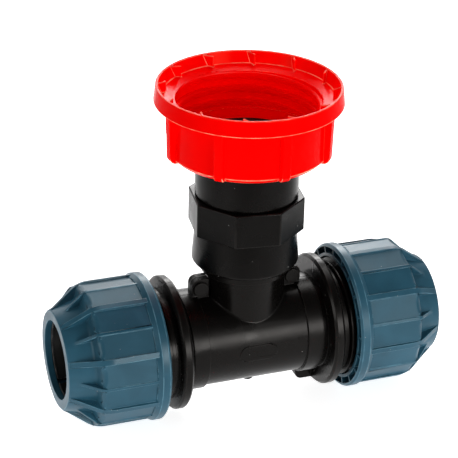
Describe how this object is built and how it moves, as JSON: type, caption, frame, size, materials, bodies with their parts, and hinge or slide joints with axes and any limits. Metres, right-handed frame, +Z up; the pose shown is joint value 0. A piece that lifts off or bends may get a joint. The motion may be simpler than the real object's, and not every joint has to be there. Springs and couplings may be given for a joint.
{
  "type": "compression pipe tee",
  "caption": "Plastic compression tee with a pipe socket and nut on each run end and a branch that carries an adapter with a coarse-threaded swivel nut.",
  "frame": {"origin": "where the axis of the run crosses the axis of the branch", "axes": "+X along the run, +Z up the branch towards the swivel nut, the plate on the -Y side"},
  "size_m": [0.1638, 0.0766, 0.143],
  "materials": {
    "black_body": "satin",
    "black_coupler": "satin",
    "blue_nut": "satin",
    "red_nut": "glossy",
    "grip_plastic": "satin",
    "thrust_plastic": "satin",
    "seal_rubber": "matte"
  },
  "bodies": {
    "tee": {"tee_body": "black_body", "branch_socket": "black_coupler", "outlet_adapter": "black_coupler", "flat_gasket": "seal_rubber", "left_seal_ring": "seal_rubber", "right_seal_ring": "seal_rubber"},
    "swivel": {"swivel_nut": "red_nut"},
    "left_rings": {"left_grip_ring": "grip_plastic", "left_thrust_ring": "thrust_plastic"},
    "left_nut": {"left_nut": "blue_nut"},
    "right_rings": {"right_grip_ring": "grip_plastic", "right_thrust_ring": "thrust_plastic"},
    "right_nut": {"right_nut": "blue_nut"}
  },
  "joints": [
    {"name": "swivel_spin", "type": "hinge", "parent": "tee", "child": "swivel", "pos_m": [0, 0, 0.09], "axis": [0, 0, 1], "continuous": true},
    {"name": "left_nut_travel", "type": "slide", "parent": "tee", "child": "left_rings", "axis": [-1, 0, 0], "range_m": [-0.00125, 0.00635]},
    {"name": "left_nut_turn", "type": "hinge", "parent": "left_rings", "child": "left_nut", "pos_m": [-0.06, 0, 0], "axis": [-1, 0, 0], "range_deg": [-120, 630]},
    {"name": "right_nut_travel", "type": "slide", "parent": "tee", "child": "right_rings", "axis": [1, 0, 0], "range_m": [-0.00125, 0.00635]},
    {"name": "right_nut_turn", "type": "hinge", "parent": "right_rings", "child": "right_nut", "pos_m": [0.06, 0, 0], "axis": [1, 0, 0], "range_deg": [-120, 630]}
  ],
  "couplings": [
    {"joint": "left_nut_travel", "follows": "left_nut_turn", "m_per_rad": 0.00057296},
    {"joint": "right_nut_travel", "follows": "right_nut_turn", "m_per_rad": 0.00057296}
  ]
}
